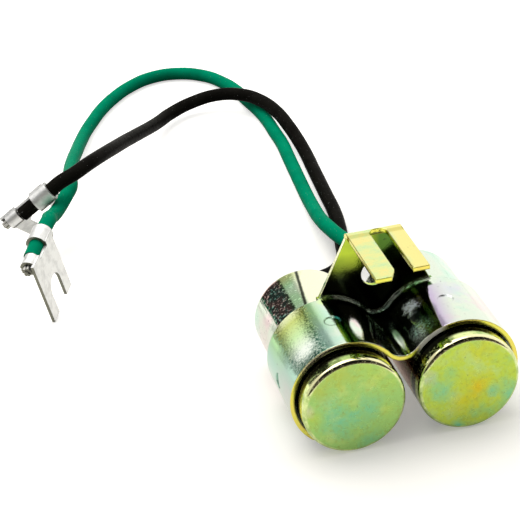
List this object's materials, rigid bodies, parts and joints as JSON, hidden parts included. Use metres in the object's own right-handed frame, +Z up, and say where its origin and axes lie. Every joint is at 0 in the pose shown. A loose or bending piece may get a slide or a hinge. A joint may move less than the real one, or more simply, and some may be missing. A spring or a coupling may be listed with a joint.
{
  "type": "twin ignition capacitor",
  "caption": "Paired metal-can ignition capacitors in a bent saddle bracket with a slotted mounting flange; each can has an insulated lead that ends in a fork terminal.",
  "frame": {"origin": "on the surface that the cans lie on, under the middle of the two cans and their bracket", "axes": "+X across the two cans, -Y the way their closed faces look, +Z up"},
  "size_m": [0.0783, 0.1696, 0.031],
  "materials": {
    "plated_sheet": "yellow chromate over bright zinc",
    "plated_can": "yellow chromate over bright zinc",
    "spring_steel": "plain spring steel",
    "paper": "oiled kraft paper",
    "foil_roll": "foil and film roll",
    "brass": "plain brass",
    "solder": "soft solder",
    "fibre": "vulcanised fibre",
    "rubber": "black rubber",
    "black_pvc": "black PVC insulation",
    "green_pvc": "green PVC insulation",
    "strands": "tinned copper strands",
    "tin": "bright tin plating"
  },
  "bodies": {
    "root": {"bracket": "plated_sheet", "can_left": "plated_can", "can_right": "plated_can", "ground_spring_left": "spring_steel", "ground_spring_right": "spring_steel", "paper_liner_left": "paper", "paper_liner_right": "paper", "winding_left": "foil_roll", "winding_right": "foil_roll", "contact_disc_left": "brass", "contact_disc_right": "brass", "solder_joint_left": "solder", "solder_joint_right": "solder", "fibre_washer_left": "fibre", "fibre_washer_right": "fibre", "rubber_seal_left": "rubber", "rubber_seal_right": "rubber", "lead_black": "black_pvc", "strands_black": "strands", "fork_black": "tin", "lead_green": "green_pvc", "strands_green": "strands", "fork_green": "tin"}
  },
  "joints": []
}
